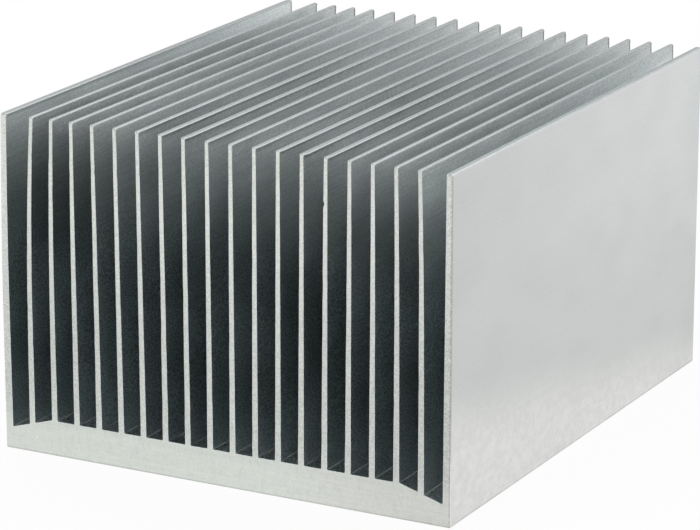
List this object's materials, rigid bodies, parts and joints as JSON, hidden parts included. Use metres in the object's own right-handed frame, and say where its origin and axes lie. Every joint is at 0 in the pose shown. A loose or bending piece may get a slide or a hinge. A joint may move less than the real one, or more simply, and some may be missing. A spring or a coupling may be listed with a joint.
{
  "type": "extruded heat sink",
  "caption": "Deep aluminium heat sink cut from one extrusion, with a thick flat base and a comb of tall tapered fins that leave straight open air channels along its length.",
  "frame": {"origin": "middle of the flat mounting face under the base", "axes": "+X across the fins, +Y along the air channels and the extrusion, +Z from the mounting face to the fin tips"},
  "size_m": [0.128, 0.15, 0.089],
  "materials": {
    "mill_aluminium": "mill finish as extruded, with finely sawn ends"
  },
  "bodies": {
    "root": {"heat_sink": "mill_aluminium"}
  },
  "joints": []
}
